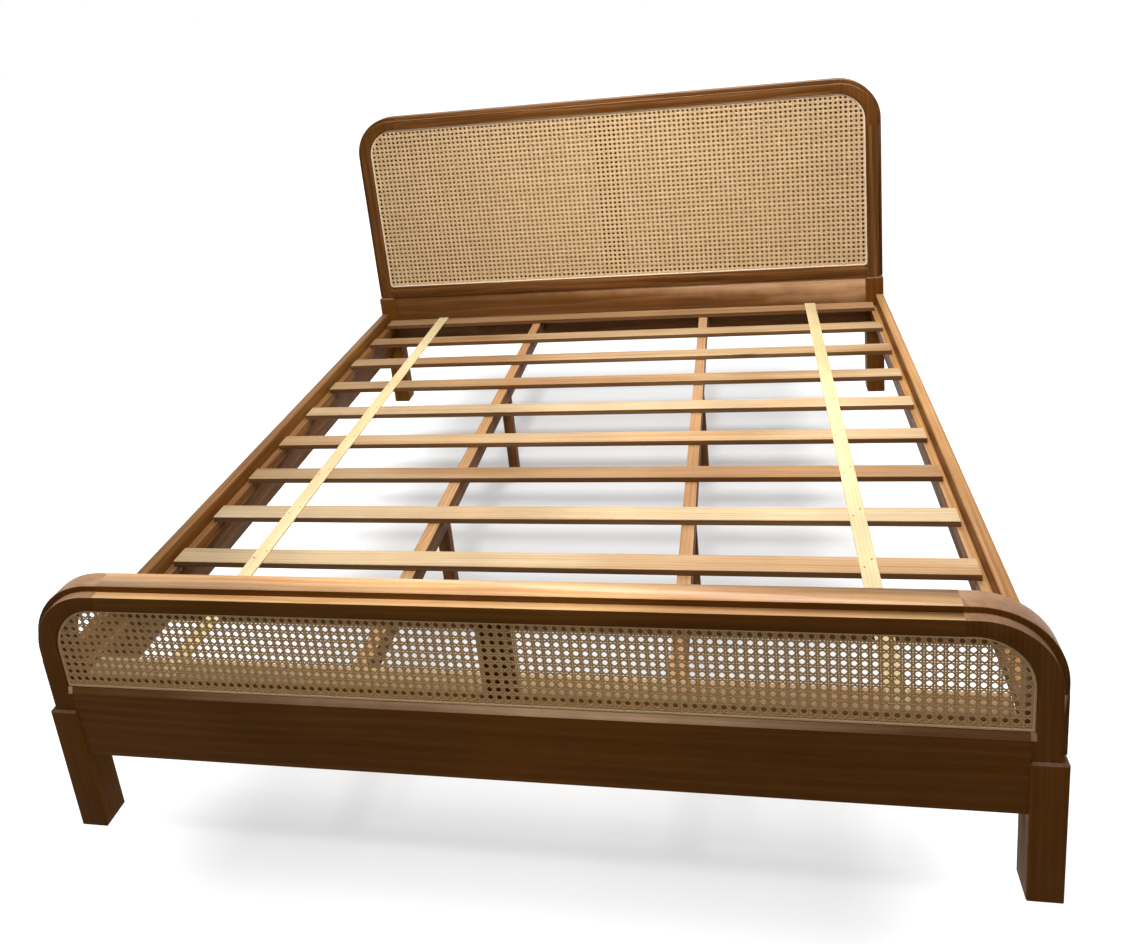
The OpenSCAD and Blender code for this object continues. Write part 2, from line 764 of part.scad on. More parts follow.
module foot_dowels() color(lath_pale) at_end(FOOT) dowels(FOOT, 0);
module head_dowels() color(lath_pale) at_end(HEAD) dowels(HEAD, 0);
module rail_hook_plates() color(steel) at_rail_joints() hook_plate();
module rail_keeper_plates() color(steel) at_rail_joints() keeper_plate();
module plate_screws() color(steel) at_rail_joints() {
    plate_screw_pair(0);
    mirror([0, 1, 0]) plate_screw_pair(0);
}
module panel_screws() color(steel) at_end(HEAD) panel_screw_set(0);
module ledger_screws() color(steel) ledger_screw_set(0);
module beam_shoes() color(steel) at_shoes() shoe();
module beam_shoe_screws() color(steel) shoe_screws(0);
module beam_leg_bolts() color(steel) bed() for (side = [-1, 1], e = [FOOT, HEAD])
    hand(side) beam_bolt(e, 0);

foot_leg_left();
foot_leg_right();
foot_stile_left();
foot_stile_right();
foot_corner_left();
foot_corner_right();
foot_top_rail();
foot_apron();
foot_mullion();
foot_cane();
foot_reed();
foot_ledger();
head_leg_left();
head_leg_right();
head_stile_left();
head_stile_right();
head_corner_left();
head_corner_right();
head_top_rail();
head_sill();
head_board();
head_mullion();
head_cane();
head_reed();
head_back_panel();
side_rail_left();
side_rail_right();
side_ledger_left();
side_ledger_right();
beam_left();
beam_right();
beam_leg_left_foot();
beam_leg_left_head();
beam_leg_right_foot();
beam_leg_right_head();
deck_slat(1);  // slat_01
deck_slat(2);  // slat_02
deck_slat(3);  // slat_03
deck_slat(4);  // slat_04
deck_slat(5);  // slat_05
deck_slat(6);  // slat_06
deck_slat(7);  // slat_07
deck_slat(8);  // slat_08
deck_slat(9);  // slat_09
deck_slat(10);  // slat_10
deck_slat(11);  // slat_11
lath_left();
lath_right();
lath_brads();
foot_dowels();
head_dowels();
rail_hook_plates();
rail_keeper_plates();
plate_screws();
panel_screws();
ledger_screws();
beam_shoes();
beam_shoe_screws();
beam_leg_bolts();
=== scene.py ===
import math
import bmesh
import bpy
from mathutils import Matrix, Vector


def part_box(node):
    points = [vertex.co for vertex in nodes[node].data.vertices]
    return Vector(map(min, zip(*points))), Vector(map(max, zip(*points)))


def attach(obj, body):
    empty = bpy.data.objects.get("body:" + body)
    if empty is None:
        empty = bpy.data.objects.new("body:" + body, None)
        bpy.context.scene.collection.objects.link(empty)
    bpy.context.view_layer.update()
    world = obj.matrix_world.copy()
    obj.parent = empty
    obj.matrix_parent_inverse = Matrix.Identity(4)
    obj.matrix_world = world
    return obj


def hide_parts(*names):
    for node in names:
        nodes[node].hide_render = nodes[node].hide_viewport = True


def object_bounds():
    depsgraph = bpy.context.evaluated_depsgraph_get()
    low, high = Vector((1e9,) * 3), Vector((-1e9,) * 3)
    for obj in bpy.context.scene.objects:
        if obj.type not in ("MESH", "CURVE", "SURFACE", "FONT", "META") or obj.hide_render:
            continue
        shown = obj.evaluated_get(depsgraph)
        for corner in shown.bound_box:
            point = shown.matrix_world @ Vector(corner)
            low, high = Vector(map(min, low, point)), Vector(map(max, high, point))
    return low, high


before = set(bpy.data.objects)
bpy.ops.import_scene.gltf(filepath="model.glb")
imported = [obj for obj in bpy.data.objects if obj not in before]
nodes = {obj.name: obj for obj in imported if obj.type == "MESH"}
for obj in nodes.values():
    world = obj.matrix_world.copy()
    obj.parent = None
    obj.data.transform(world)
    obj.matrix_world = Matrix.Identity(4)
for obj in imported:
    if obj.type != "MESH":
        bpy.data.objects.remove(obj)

# Double bed: dark oiled timber frame, woven cane panels, pale slatted deck
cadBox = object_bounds()


# short forms for shader trees

def put(tree, kind, values=None, **settings):
    # a new node; values for its inputs are constants or sockets to link
    node = tree.nodes.new(kind)
    for key, value in settings.items():
        setattr(node, key, value)
    for key, value in (values or {}).items():
        if isinstance(value, bpy.types.NodeSocket):
            tree.links.new(value, node.inputs[key])
        else:
            node.inputs[key].default_value = value
    return node


def calc(tree, operation, a, b=0.0, c=0.0):
    return put(tree, "ShaderNodeMath", {0: a, 1: b, 2: c}, operation=operation).outputs[0]


def weighted(tree, first, *rest):
    # the sum of (socket, share) pairs
    part = calc(tree, "MULTIPLY", *first)
    return calc(tree, "ADD", part, weighted(tree, *rest)) if rest else part


def vectorCalc(tree, operation, a, b):
    return put(tree, "ShaderNodeVectorMath", {0: a, 1: b}, operation=operation).outputs[0]


def remap(tree, value, low, high, newLow=0.0, newHigh=1.0, smooth=False):
    return put(tree, "ShaderNodeMapRange",
               {"Value": value, "From Min": low, "From Max": high,
                "To Min": newLow, "To Max": newHigh},
               interpolation_type="SMOOTHSTEP" if smooth else "LINEAR").outputs[0]


def widened(tree, value, newLow=0.0, newHigh=1.0):
    # a noise keeps near its middle, this draws that part out
    return remap(tree, value, 0.3, 0.7, newLow, newHigh)


def noise(tree, vector, scale=1.0, detail=2.0, roughness=0.5, output=0):
    return put(tree, "ShaderNodeTexNoise", {"Vector": vector, "Scale": scale, "Detail": detail,
                                            "Roughness": roughness}).outputs[output]


def objectPlace(tree):
    return put(tree, "ShaderNodeTexCoord").outputs["Object"]


def parted(tree, vector):
    return put(tree, "ShaderNodeSeparateXYZ", {0: vector}).outputs


def blendColours(tree, amount, a, b, mode="MIX"):
    return put(tree, "ShaderNodeMix", {0: amount, 6: a, 7: b}, data_type="RGBA",
               blend_type=mode).outputs[2]


def ramp(tree, value, stops):
    node = put(tree, "ShaderNodeValToRGB", {"Fac": value})
    elements = node.color_ramp.elements
    while len(elements) < len(stops):
        elements.new(0.5)
    for element, (place, colour) in zip(elements, stops):
        element.position = place
        element.color = (*colour, 1)
    return node.outputs[0]


def newGroup(name, inputs, outputs):
    group = bpy.data.node_groups.new(name, "ShaderNodeTree")
    for label, kind, value in inputs:
        socket = group.interface.new_socket(label, in_out="INPUT", socket_type=kind)
        if value is not None:
            socket.default_value = value
    for label, kind in outputs:
        group.interface.new_socket(label, in_out="OUTPUT", socket_type=kind)
    given = group.nodes.new("NodeGroupInput").outputs
    out = group.nodes.new("NodeGroupOutput").inputs
    return group, given, out


# effects that several materials share

grainForm = {
    # pattern scales along and across the grain
    "drift": (1.1, 5.0, 5.0), "knotCells": (1.5, 6.0, 6.0), "streaks": (1.3, 55.0, 55.0),
    "fibres": (9.0, 520.0, 520.0), "pores": (45.0, 1300.0, 1300.0),
    "pith": (3.1, 0.9),  # how far off the centre of the rings lies, in metres
    "knotWidth": 0.22, "knotPush": 0.03, "knotCore": (0.02, 0.09),
    "lateFrom": 0.35, "lateTo": 0.93, "poreEdge": (0.62, 0.74),
    "streakShare": 0.55, "lateShare": 0.25, "fibreShare": 0.25, "fibreRelief": 0.6}


def makeGrainGroup():
    # x of the vector runs along the grain, all in metres
    form = grainForm
    g, given, out = newGroup("timberGrain",
                             [("Vector", "NodeSocketVector", None),
                              ("Ring Width", "NodeSocketFloat", 0.012),
                              ("Wander", "NodeSocketFloat", 0.02),
                              ("Knots", "NodeSocketFloat", 0.0)],
                             [("Tone", "NodeSocketFloat"), ("Pores", "NodeSocketFloat"),
                              ("Knot", "NodeSocketFloat"), ("Relief", "NodeSocketFloat")])
    vector = given["Vector"]
    drift = noise(g, vectorCalc(g, "MULTIPLY", vector, form["drift"]), detail=3.0, output=1)
    drift = vectorCalc(g, "SUBTRACT", drift, (0.5, 0.5, 0.5))
    drift = put(g, "ShaderNodeVectorMath", {0: drift, "Scale": given["Wander"]},
                operation="SCALE").outputs[0]
    # knots: sparse cells that push the rings aside
    cell = put(g, "ShaderNodeTexVoronoi",
               {"Vector": vectorCalc(g, "MULTIPLY", vector, form["knotCells"]), "Scale": 1.0,
                "Randomness": 1.0}).outputs["Distance"]
    knotField = remap(g, cell, 0.0, form["knotWidth"], 1.0, 0.0, smooth=True)
    knotField = calc(g, "MULTIPLY", knotField, given["Knots"])
    # rings: distance from the pith, cut into years, each with darker late wood
    bent = vectorCalc(g, "ADD", vector, drift)
    split = parted(g, bent)
    squares = [calc(g, "POWER", calc(g, "ADD", split[i], form["pith"][i - 1]), 2.0) for i in (1, 2)]
    across = calc(g, "SQRT", calc(g, "ADD", *squares))
    across = calc(g, "ADD", across, calc(g, "MULTIPLY", knotField, form["knotPush"]))
    turn = calc(g, "FRACT", calc(g, "DIVIDE", across, given["Ring Width"]))
    late = calc(g, "MULTIPLY", remap(g, turn, form["lateFrom"], form["lateTo"], smooth=True),
                remap(g, turn, form["lateTo"], 1.0, 1.0, 0.0))
    streak = noise(g, vectorCalc(g, "MULTIPLY", bent, form["streaks"]), detail=5.0, roughness=0.6)
    fibre = noise(g, vectorCalc(g, "MULTIPLY", vector, form["fibres"]), detail=3.0, roughness=0.6)
    pore = noise(g, vectorCalc(g, "MULTIPLY", vector, form["pores"]), detail=1.0)
    tone = weighted(g, (widened(g, streak), form["streakShare"]), (late, form["lateShare"]),
                    (fibre, form["fibreShare"]))
    pores = remap(g, pore, *form["poreEdge"], smooth=True)
    g.links.new(tone, out["Tone"])
    g.links.new(pores, out["Pores"])
    g.links.new(remap(g, cell, *form["knotCore"], 1.0, 0.0, smooth=True), out["Knot"])
    relief = calc(g, "SUBTRACT", calc(g, "MULTIPLY", fibre, form["fibreRelief"]), pores)
    g.links.new(relief, out["Relief"])
    return g


blotchForm = {"fineScale": 38.0, "shadeRange": (0.28, 0.72), "dullRange": (0.35, 0.7)}


def makeBlotchGroup():
    # broad uneven take-up of the oil, and dulled patches where hands and dust settle
    g, given, out = newGroup("oilBlotch",
                             [("Vector", "NodeSocketVector", None),
                              ("Size", "NodeSocketFloat", 3.0)],
                             [("Shade", "NodeSocketFloat"), ("Dull", "NodeSocketFloat")])
    broad = noise(g, given["Vector"], given["Size"], detail=3.0, roughness=0.55)
    fine = noise(g, given["Vector"], blotchForm["fineScale"], detail=4.0, roughness=0.65)
    g.links.new(remap(g, broad, *blotchForm["shadeRange"]), out["Shade"])
    dull = calc(g, "MULTIPLY", remap(g, broad, *blotchForm["dullRange"]), widened(g, fine))
    g.links.new(dull, out["Dull"])
    return g


topLightForm = {"patchScale": 9.0, "uneven": 0.06}


def makeUpwardGroup():
    # how far a surface looks up, unevenly in patches, as the mask of painted light on upper faces
    g, given, out = newGroup("upwardPaintedLight",
                             [("Vector", "NodeSocketVector", None),
                              ("Low", "NodeSocketFloat", 0.10), ("High", "NodeSocketFloat", 0.50)],
                             [("Amount", "NodeSocketFloat")])
    facing = parted(g, put(g, "ShaderNodeNewGeometry").outputs["Normal"])[2]
    patches = noise(g, given["Vector"], topLightForm["patchScale"], detail=3.0)
    facing = calc(g, "ADD", facing, widened(g, patches, -topLightForm["uneven"], topLightForm["uneven"]))
    g.links.new(remap(g, facing, given["Low"], given["High"], smooth=True), out["Amount"])
    return g


grainGroup = makeGrainGroup()
blotchGroup = makeBlotchGroup()
upwardGroup = makeUpwardGroup()


def newMaterial(name):
    material = bpy.data.materials.new(name)
    material.use_nodes = True
    tree = material.node_tree
    return material, tree, tree.nodes["Principled BSDF"]


def alongAxis(tree, axis):
    # object coordinates, reordered so that x runs along the chosen axis
    split = parted(tree, objectPlace(tree))
    order = {"x": (0, 1, 2), "y": (1, 0, 2), "z": (2, 1, 0)}[axis]
    return put(tree, "ShaderNodeCombineXYZ", {i: split[o] for i, o in enumerate(order)}).outputs[0]


timberLooks = {
    # stops: colours by grain tone; the top stops: the same on upward faces, paler as painted light
    # from above, strongly on most looks and little on the head's and the legs'
    "walnut": {
        "stops": [(0.2, (0.148, 0.050, 0.0078)), (0.5, (0.165, 0.059, 0.0098)),
                  (0.85, (0.192, 0.074, 0.0140))],
        "litTopStops": [(0.2, (0.560, 0.330, 0.180)), (0.5, (0.680, 0.430, 0.250)),
                     (0.85, (0.760, 0.510, 0.320))],
        "ringWidth": 0.011, "wander": 0.03, "knots": 0.0, "pores": 0.22, "roughness": 0.42,
        "shine": 0.02, "coat": 0.15, "redder": 0.0},
    "legWalnut": {
        "stops": [(0.2, (0.148, 0.050, 0.0078)), (0.5, (0.165, 0.059, 0.0098)),
                  (0.85, (0.192, 0.074, 0.0140))],
        "litTopStops": [(0.2, (0.190, 0.100, 0.052)), (0.5, (0.235, 0.128, 0.068)),
                     (0.85, (0.290, 0.165, 0.092))],
        "ringWidth": 0.011, "wander": 0.03, "knots": 0.0, "pores": 0.22, "roughness": 0.42,
        "shine": 0.02, "coat": 0.05, "redder": 0.0},
    "headWalnut": {
        "stops": [(0.2, (0.090, 0.030, 0.0060)), (0.5, (0.145, 0.054, 0.0125)),
                  (0.85, (0.260, 0.115, 0.0360))],
        "litTopStops": [(0.2, (0.135, 0.072, 0.038)), (0.5, (0.175, 0.098, 0.055)),
                     (0.85, (0.240, 0.140, 0.082))],
        "ringWidth": 0.011, "wander": 0.04, "knots": 0.0, "pores": 0.3, "roughness": 0.40,
        "shine": 0.04, "coat": 0.10, "redder": 0.0},
    "blockWalnut": {
        "stops": [(0.2, (0.145, 0.050, 0.0085)), (0.5, (0.165, 0.060, 0.0110)),
                  (0.9, (0.200, 0.080, 0.0180))],
        "litTopStops": [(0.2, (0.380, 0.210, 0.110)), (0.5, (0.470, 0.265, 0.150)),
                     (0.9, (0.570, 0.350, 0.210))],
        "ringWidth": 0.006, "wander": 0.02, "knots": 0.0, "pores": 0.25, "roughness": 0.40,
        "shine": 0.02, "coat": 0.20, "redder": 0.0},
    "headBlock": {
        "stops": [(0.2, (0.125, 0.046, 0.0095)), (0.5, (0.150, 0.056, 0.0125)),
                  (0.9, (0.190, 0.078, 0.0200))],
        "litTopStops": [(0.2, (0.135, 0.072, 0.038)), (0.5, (0.175, 0.098, 0.055)),
                     (0.9, (0.240, 0.140, 0.082))],
        "ringWidth": 0.006, "wander": 0.02, "knots": 0.0, "pores": 0.25, "roughness": 0.40,
        "shine": 0.02, "coat": 0.10, "redder": 0.0},
    "railWalnut": {
        "stops": [(0.15, (0.150, 0.054, 0.0085)), (0.45, (0.180, 0.070, 0.0115)),
                  (0.85, (0.215, 0.088, 0.0180))],
        "litTopStops": [(0.15, (0.560, 0.290, 0.115)), (0.45, (0.700, 0.410, 0.185)),
                     (0.85, (0.820, 0.560, 0.300))],
        "ringWidth": 0.012, "wander": 0.04, "knots": 0.4, "pores": 0.35, "roughness": 0.34,
        "shine": 0.02, "coat": 0.65, "redder": 0.5, "stretch": (2.1, 7.0, 7.0)},
    # the right rail: paler, with painted light on its top and inner face
    "litSideWalnut": {
        "stops": [(0.15, (0.185, 0.074, 0.0165)), (0.45, (0.230, 0.096, 0.0240)),
                  (0.85, (0.300, 0.135, 0.0400))],
        "litTopStops": [(0.15, (0.380, 0.180, 0.062)), (0.45, (0.500, 0.265, 0.100)),
                     (0.85, (0.640, 0.380, 0.165))],
        "ringWidth": 0.012, "wander": 0.04, "knots": 0.4, "pores": 0.35, "roughness": 0.36,
        "shine": 0.02, "coat": 0.25, "redder": 0.4, "stretch": (1.2, 9.0, 9.0)},
    # the left rail: darker, as painted shade
    "shadedSideWalnut": {
        "stops": [(0.15, (0.165, 0.064, 0.0130)), (0.45, (0.205, 0.084, 0.0190)),
                  (0.85, (0.265, 0.118, 0.0330))],
        "litTopStops": [(0.15, (0.190, 0.088, 0.031)), (0.45, (0.250, 0.124, 0.048)),
                     (0.85, (0.340, 0.185, 0.080))],
        "ringWidth": 0.012, "wander": 0.04, "knots": 0.4, "pores": 0.35, "roughness": 0.38,
        "shine": 0.02, "coat": 0.15, "redder": 0.4, "stretch": (1.2, 9.0, 9.0)},
    "boardWalnut": {
        "stops": [(0.15, (0.125, 0.045, 0.0105)), (0.45, (0.172, 0.068, 0.0185)),
                  (0.85, (0.235, 0.103, 0.0330))],
        "litTopStops": [(0.15, (0.400, 0.200, 0.090)), (0.45, (0.500, 0.270, 0.130)),
                     (0.85, (0.600, 0.350, 0.190))],
        "ringWidth": 0.012, "wander": 0.04, "knots": 0.3, "pores": 0.35, "roughness": 0.40,
        "shine": 0.08, "coat": 0.0, "redder": 0.0},
    "slatTimber": {
        "stops": [(0.15, (0.170, 0.080, 0.028)), (0.45, (0.235, 0.122, 0.046)),
                  (0.85, (0.315, 0.180, 0.078))],
        "litTopStops": [(0.15, (0.500, 0.318, 0.152)), (0.45, (0.625, 0.440, 0.240)),
                     (0.85, (0.705, 0.555, 0.350))],
        "ringWidth": 0.009, "wander": 0.03, "knots": 0.8, "pores": 0.2, "roughness": 0.50,
        "shine": 0.15, "coat": 0.0, "redder": 0.75, "stretch": (0.9, 4.7, 9.0),
        "paintedLightAcross": (0.78, 1.08)},
    "warmSlat": {
        "stops": [(0.15, (0.150, 0.068, 0.022)), (0.45, (0.205, 0.102, 0.036)),
                  (0.85, (0.280, 0.152, 0.062))],
        "litTopStops": [(0.15, (0.370, 0.220, 0.102)), (0.45, (0.475, 0.312, 0.162)),
                     (0.85, (0.570, 0.412, 0.245))],
        "ringWidth": 0.009, "wander": 0.03, "knots": 0.8, "pores": 0.2, "roughness": 0.50,
        "shine": 0.12, "coat": 0.0, "redder": 0.75, "stretch": (0.9, 4.7, 9.0),
        "paintedLightAcross": (0.78, 1.08)},
    "paleSlat": {
        "stops": [(0.15, (0.180, 0.088, 0.032)), (0.45, (0.250, 0.134, 0.053)),
                  (0.85, (0.335, 0.198, 0.090))],
        "litTopStops": [(0.15, (0.530, 0.360, 0.188)), (0.45, (0.650, 0.485, 0.285)),
                     (0.85, (0.725, 0.595, 0.400))],
        "ringWidth": 0.009, "wander": 0.03, "knots": 0.8, "pores": 0.2, "roughness": 0.50,
        "shine": 0.15, "coat": 0.0, "redder": 0.45, "stretch": (0.9, 4.7, 9.0),
        "paintedLightAcross": (0.78, 1.08)},
    "beamTimber": {
        "stops": [(0.15, (0.130, 0.052, 0.016)), (0.5, (0.200, 0.088, 0.030)),
                  (0.9, (0.300, 0.150, 0.060))],
        "litTopStops": [(0.15, (0.370, 0.195, 0.080)), (0.5, (0.490, 0.285, 0.138)),
                     (0.9, (0.580, 0.375, 0.205))],
        "ringWidth": 0.010, "wander": 0.03, "knots": 0.5, "pores": 0.3, "roughness": 0.5,
        "shine": 0.05, "coat": 0.0, "redder": 0.4, "stretch": (1.0, 4.0, 9.0)},
    # the foot ledger is painted dark, as the shade it lies in behind the cane
    "shadedLedgerTimber": {
        "stops": [(0.15, (0.090, 0.034, 0.009)), (0.5, (0.130, 0.054, 0.016)),
                  (0.9, (0.190, 0.085, 0.030))],
        "litTopStops": None,
        "ringWidth": 0.010, "wander": 0.03, "knots": 0.5, "pores": 0.3, "roughness": 0.55,
        "shine": 0.05, "coat": 0.0, "redder": 0.0},
    "panelPly": {
        "stops": [(0.15, (0.330, 0.185, 0.080)), (0.5, (0.400, 0.240, 0.112)),
                  (0.9, (0.470, 0.300, 0.150))],
        "litTopStops": None,
        "ringWidth": 0.030, "wander": 0.05, "knots": 0.0, "pores": 0.2, "roughness": 0.6,
        "shine": 0.15, "coat": 0.0, "redder": 0.0},
    "lathTimber": {
        "stops": [(0.15, (0.720, 0.520, 0.240)), (0.5, (0.820, 0.640, 0.330)),
                  (0.9, (0.880, 0.730, 0.430))],
        "litTopStops": [(0.15, (0.740, 0.570, 0.290)), (0.5, (0.805, 0.655, 0.365)),
                     (0.9, (0.845, 0.720, 0.460))],
        "ringWidth": 0.008, "wander": 0.02, "knots": 0.0, "pores": 0.15, "roughness": 0.6,
        "shine": 0.15, "coat": 0.0, "redder": 0.25, "stretch": (1.0, 3.0, 9.0)}}

oiled = {
    # what all timber looks share
    "redRange": (0.36, 0.62), "redTint": (0.74, 0.56, 0.44, 1),  # reddish stretches
    "darkShare": 0.42, "knotShare": 0.8, "blotchLight": (0.84, 1.14),
    "dull": 0.12, "toneRoughness": 0.05, "coatRoughness": 0.28, "coatTint": (1.0, 0.92, 0.78, 1),
    "relief": 0.25, "reliefDepth": 0.0004,
    # metres from the bed's middle over which the painted light on upper faces dies away, a painted
    # highlight broad in the middle, and what stays of it; slats' ends
    "highlightMiddle": (0.25, 0.8), "highlightEnds": 0.12, "paintedLightSpan": (-0.9, 0.9)}


def timber(look, axis, reach=None):
    # reach: upward faces get painted light only in front of this y, most in the middle of the bed as
    # a painted highlight; behind it they stay dark, as painted shade
    name = f"{look}_{axis}" + (f"_{reach:.3f}" if reach else "")
    if name in bpy.data.materials:
        return bpy.data.materials[name]
    values = timberLooks[look]
    material, tree, shader = newMaterial(name)
    vector = alongAxis(tree, axis)
    grain = put(tree, "ShaderNodeGroup", node_tree=grainGroup)
    tree.links.new(vector, grain.inputs["Vector"])
    grain.inputs["Ring Width"].default_value = values["ringWidth"]
    grain.inputs["Wander"].default_value = values["wander"]
    grain.inputs["Knots"].default_value = values["knots"]
    blotch = put(tree, "ShaderNodeGroup", node_tree=blotchGroup)
    tree.links.new(vector, blotch.inputs["Vector"])
    colour = ramp(tree, grain.outputs["Tone"], values["stops"])
    # painted light: upward faces blend to the paler top colours, as if lit from above
    if values["litTopStops"]:
        upward = put(tree, "ShaderNodeGroup", node_tree=upwardGroup)
        tree.links.new(vector, upward.inputs["Vector"])
        topLightAmount = upward.outputs["Amount"]
        if reach:
            at = parted(tree, objectPlace(tree))
            topLightAmount = calc(tree, "MULTIPLY", topLightAmount, calc(tree, "LESS_THAN", at[1], reach))
            # painted highlight: the painted light is strongest in the middle of the bed
            middle = remap(tree, calc(tree, "ABSOLUTE", at[0]), *oiled["highlightMiddle"], 1.0,
                           oiled["highlightEnds"], smooth=True)
            topLightAmount = calc(tree, "MULTIPLY", topLightAmount, middle)
        litTopColour = ramp(tree, grain.outputs["Tone"], values["litTopStops"])
        colour = blendColours(tree, topLightAmount, colour, litTopColour)
        tree.links.new(calc(tree, "MULTIPLY", topLightAmount, values["coat"]), shader.inputs["Coat Weight"])
    if values["redder"]:
        stretch = noise(tree, vectorCalc(tree, "MULTIPLY", vector, values["stretch"]), detail=2.0)
        amount = remap(tree, stretch, *oiled["redRange"], 0.0, values["redder"], smooth=True)
        colour = blendColours(tree, amount, colour, oiled["redTint"], mode="MULTIPLY")
    dark = (*[c * oiled["darkShare"] for c in values["stops"][0][1]], 1)
    for mask, share in (("Pores", values["pores"]), ("Knot", values["knots"] * oiled["knotShare"])):
        amount = calc(tree, "MULTIPLY", grain.outputs[mask], share)
        colour = blendColours(tree, amount, colour, dark)
    light = remap(tree, blotch.outputs["Shade"], 0.0, 1.0, *oiled["blotchLight"])
    if "paintedLightAcross" in values:
        # painted light: the boards across the bed are paler towards the right
        along = parted(tree, vector)[0]
        paintedLightAcross = remap(tree, along, *oiled["paintedLightSpan"], *values["paintedLightAcross"])
        light = calc(tree, "MULTIPLY", light, paintedLightAcross)
    shade = put(tree, "ShaderNodeHueSaturation", {"Color": colour, "Value": light})
    tree.links.new(shade.outputs[0], shader.inputs["Base Color"])
    toneRough = remap(tree, grain.outputs["Tone"], 0.0, 1.0,
                      values["roughness"] + oiled["toneRoughness"],
                      values["roughness"] - oiled["toneRoughness"])
    dulled = calc(tree, "MULTIPLY", blotch.outputs["Dull"], oiled["dull"])
    tree.links.new(calc(tree, "ADD", dulled, toneRough), shader.inputs["Roughness"])
    shader.inputs["Coat Roughness"].default_value = oiled["coatRoughness"]
    shader.inputs["Coat Tint"].default_value = oiled["coatTint"]
    shader.inputs["Specular IOR Level"].default_value = values["shine"]
    bump = put(tree, "ShaderNodeBump", {"Height": grain.outputs["Relief"],
                                        "Strength": oiled["relief"],
                                        "Distance": oiled["reliefDepth"]})
    tree.links.new(bump.outputs[0], shader.inputs["Normal"])
    return material


caneLooks = {
    # the same cane at both ends: the foot's is darker and more golden as painted shade, the head's
    # paler as painted light
    "foot": {"stops": [(0.15, (0.500, 0.280, 0.100)), (0.5, (0.630, 0.385, 0.160)),
                       (0.9, (0.730, 0.490, 0.235))],
             "roughness": 0.42, "shine": 0.15},
    "head": {"stops": [(0.15, (0.660, 0.410, 0.185)), (0.5, (0.820, 0.570, 0.305)),
                       (0.9, (0.920, 0.690, 0.420))],
             "roughness": 0.42, "shine": 0.15}}
# the head's reed is paler as painted light, the foot's darker as painted shade
reedLooks = {
    "foot": {"stops": [(0.15, (0.620, 0.400, 0.200)), (0.5, (0.720, 0.490, 0.260)),
                       (0.9, (0.790, 0.570, 0.330))],
             "roughness": 0.45, "shine": 0.15},
    "head": {"stops": [(0.15, (0.930, 0.740, 0.510)), (0.5, (0.950, 0.790, 0.580)),
                       (0.9, (0.960, 0.830, 0.640))],
             "roughness": 0.45, "shine": 0.15}}
caneForm = {
    # pattern scales along the strand, through the sheet and across the strand
    "fibres": (16.0, 60.0, 900.0), "strands": (1.5, 1.0, 260.0), "joints": (8.0, 4.0, 170.0),
    "strandShare": 0.5, "fibreShare": 0.3, "jointShare": 0.2,
    "rougher": 0.1, "smoother": 0.06, "relief": 0.3, "reliefDepth": 0.0002}


def caneMaterial(name, look, turn):
    # turn swings the pattern in the panel's plane so that fibres follow the strand
    form = caneForm
    material, tree, shader = newMaterial(name)
    swung = put(tree, "ShaderNodeMapping", {"Vector": objectPlace(tree),
                                            "Rotation": (0, math.radians(turn), 0)}).outputs[0]
    fibre = noise(tree, vectorCalc(tree, "MULTIPLY", swung, form["fibres"]), detail=3.0,
                  roughness=0.6)
    strand = noise(tree, vectorCalc(tree, "MULTIPLY", swung, form["strands"]), detail=1.0)
    joint = noise(tree, vectorCalc(tree, "MULTIPLY", swung, form["joints"]), detail=2.0)
    tone = weighted(tree, (widened(tree, strand), form["strandShare"]), (fibre, form["fibreShare"]),
                    (joint, form["jointShare"]))
    tree.links.new(ramp(tree, tone, look["stops"]), shader.inputs["Base Color"])
    rough = widened(tree, fibre, look["roughness"] + form["rougher"],
                    look["roughness"] - form["smoother"])
    tree.links.new(rough, shader.inputs["Roughness"])
    shader.inputs["Specular IOR Level"].default_value = look["shine"]
    bump = put(tree, "ShaderNodeBump", {"Height": fibre, "Strength": form["relief"],
                                        "Distance": form["reliefDepth"]})
    tree.links.new(bump.outputs[0], shader.inputs["Normal"])
    return material


# the steel is kept dark, a painted shade, so that the fittings sink into the shade round them
steelLook = {"brush": (900.0, 900.0, 40.0), "stain": 60.0, "share": 0.5,
             "stops": [(0.3, (0.10, 0.10, 0.105)), (0.7, (0.20, 0.20, 0.21))],
             "roughness": (0.30, 0.48)}


def steelMaterial():
    material, tree, shader = newMaterial("plainSteel")
    place = objectPlace(tree)
    brush = noise(tree, vectorCalc(tree, "MULTIPLY", place, steelLook["brush"]), detail=3.0)
    stain = noise(tree, place, steelLook["stain"], detail=4.0)
    tone = weighted(tree, (brush, steelLook["share"]), (stain, steelLook["share"]))
    tree.links.new(ramp(tree, tone, steelLook["stops"]), shader.inputs["Base Color"])
    shader.inputs["Metallic"].default_value = 1.0
    tree.links.new(widened(tree, stain, *steelLook["roughness"]), shader.inputs["Roughness"])
    return material


print("materials ready")


# frame members with softened edges

soften = {"meets": 2e-4, "onPlane": 5e-5, "merge": 1e-5,  # metres
          "flat": 0.6, "sharp": 15}  # degrees


def addObject(name, data):
    thing = bpy.data.objects.new(name, data)
    bpy.context.scene.collection.objects.link(thing)
    return thing


def meetingPlanes(node, others):
    # planes on which a member meets its neighbours; edges there stay tight
    lo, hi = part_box(node)
    planes = []
    for other in others:
        otherLo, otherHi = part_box(other)
        for axis in range(3):
            if abs(hi[axis] - otherLo[axis]) < soften["meets"]:
                planes.append((axis, hi[axis]))
            if abs(lo[axis] - otherHi[axis]) < soften["meets"]:
                planes.append((axis, lo[axis]))
    return planes


